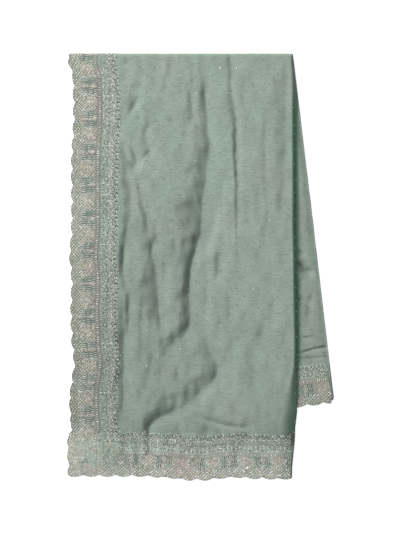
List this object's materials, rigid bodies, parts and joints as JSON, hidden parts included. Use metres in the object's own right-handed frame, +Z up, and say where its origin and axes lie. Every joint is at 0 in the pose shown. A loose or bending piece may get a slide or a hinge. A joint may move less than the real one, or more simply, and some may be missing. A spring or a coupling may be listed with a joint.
{
  "type": "folded saree",
  "caption": "Folded sage green saree lying flat, with scalloped embroidered borders along its side and hems.",
  "frame": {"origin": "centre of the bounding box on the surface that the saree lies on", "axes": "+X across the front half to its side fold, +Y up the cloth to the top fold, +Z up from the surface"},
  "size_m": [0.6522, 1.0442, 0.0188],
  "materials": {
    "field_satin": "soft satin tissue cloth, sage green",
    "border_embroidery": "silver and beige thread embroidery on sage cloth",
    "folded_cloth": "edges of the folded layers, sage green"
  },
  "bodies": {
    "root": {"front_panel": "field_satin", "back_panel": "field_satin", "side_border": "border_embroidery", "under_border": "border_embroidery", "hem_border": "border_embroidery", "back_hem_border": "border_embroidery", "hidden_layers": "folded_cloth"}
  },
  "joints": []
}
